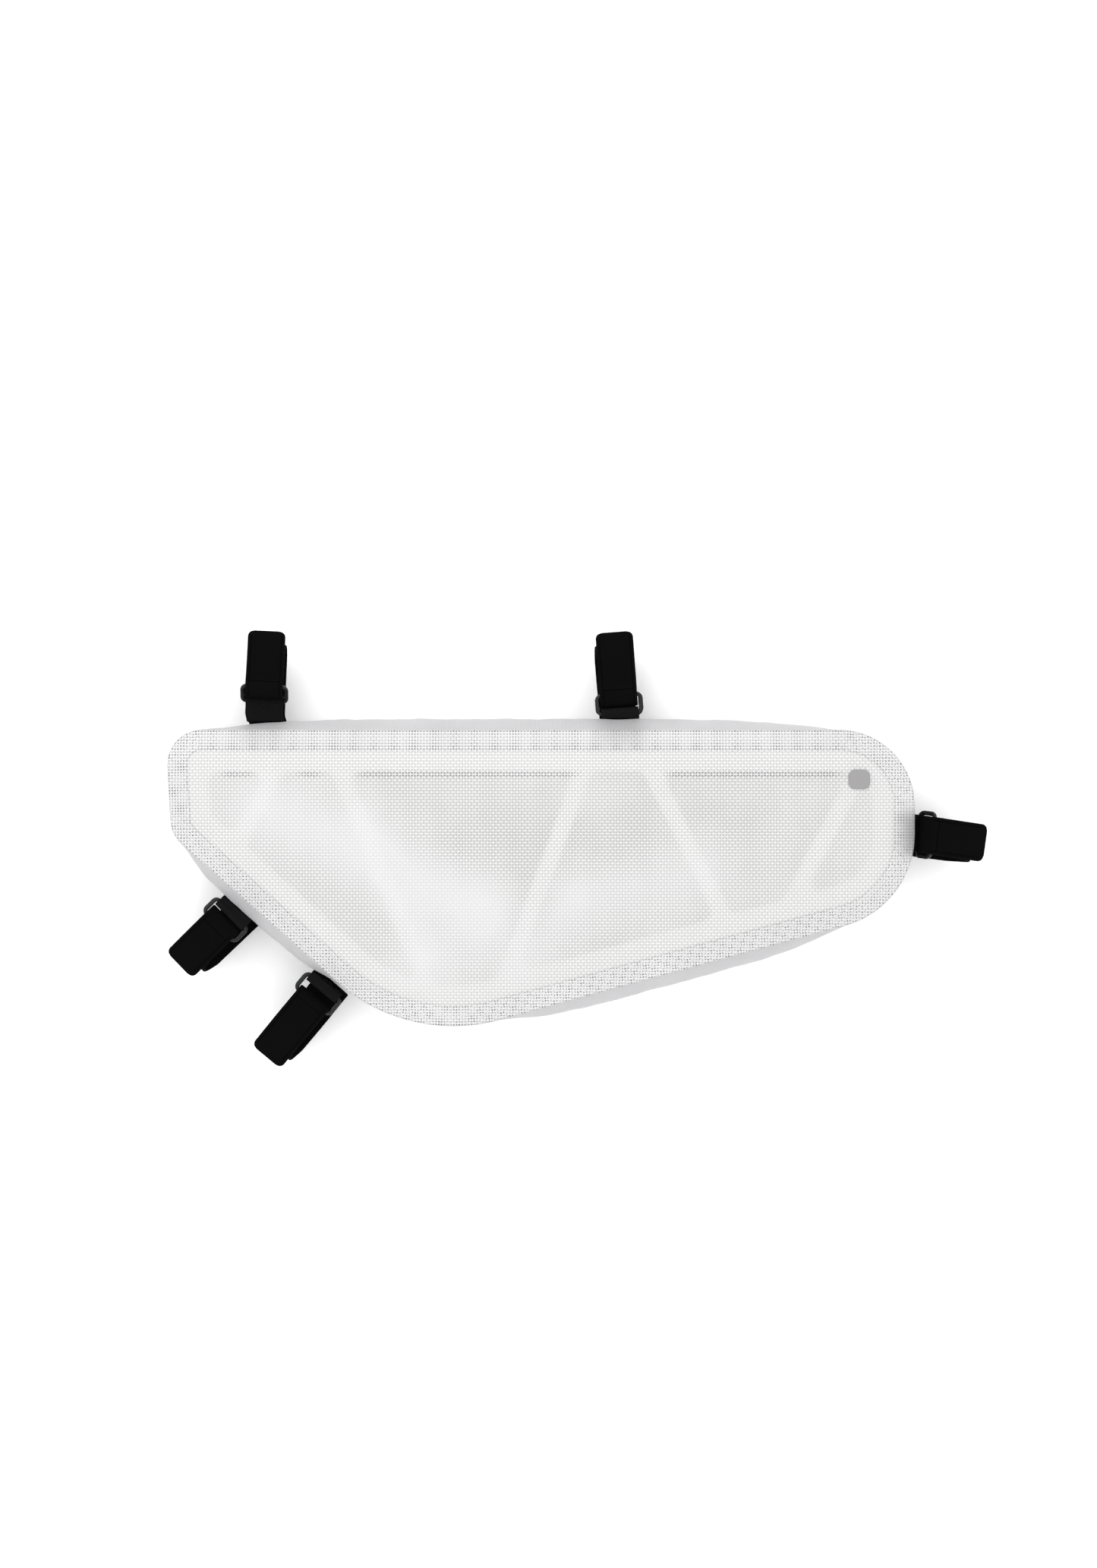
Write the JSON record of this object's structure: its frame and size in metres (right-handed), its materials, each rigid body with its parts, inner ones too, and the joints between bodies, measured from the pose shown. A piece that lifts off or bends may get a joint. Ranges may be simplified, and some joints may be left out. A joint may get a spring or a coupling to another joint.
{
  "type": "bicycle frame bag",
  "caption": "Bicycle frame bag of see-through white cloth with a truss-shaped stiffener, a zip on its far side and black hook-and-loop straps with rings.",
  "frame": {"origin": "on the flat of the back panel, which it rests on, under the middle of the seam outline", "axes": "+X from the nose to the tail, +Y towards the top edge, +Z from the back panel to the front panel"},
  "size_m": [0.5438, 0.2888, 0.0657],
  "materials": {
    "panel_cloth": "coated see-through scrim, satin",
    "gusset_cloth": "coated see-through cloth, satin",
    "stiffener_sheet": "frosted sheet",
    "badge_film": "matt",
    "zip_tape": "woven tape",
    "strap_webbing": "hook-and-loop webbing, matt",
    "tab_webbing": "woven webbing",
    "ring_wire": "gloss black"
  },
  "bodies": {
    "root": {"front_panel": "panel_cloth", "back_panel": "panel_cloth", "gusset": "gusset_cloth", "front_stiffener": "stiffener_sheet", "badge": "badge_film", "zip": "zip_tape", "strap_top_nose": "strap_webbing", "tab_top_nose": "tab_webbing", "ring_top_nose": "ring_wire", "strap_top_tail": "strap_webbing", "tab_top_tail": "tab_webbing", "ring_top_tail": "ring_wire", "strap_tail": "strap_webbing", "tab_tail": "tab_webbing", "ring_tail": "ring_wire", "strap_slope_nose": "strap_webbing", "tab_slope_nose": "tab_webbing", "ring_slope_nose": "ring_wire", "strap_slope_keel": "strap_webbing", "tab_slope_keel": "tab_webbing", "ring_slope_keel": "ring_wire"}
  },
  "joints": []
}
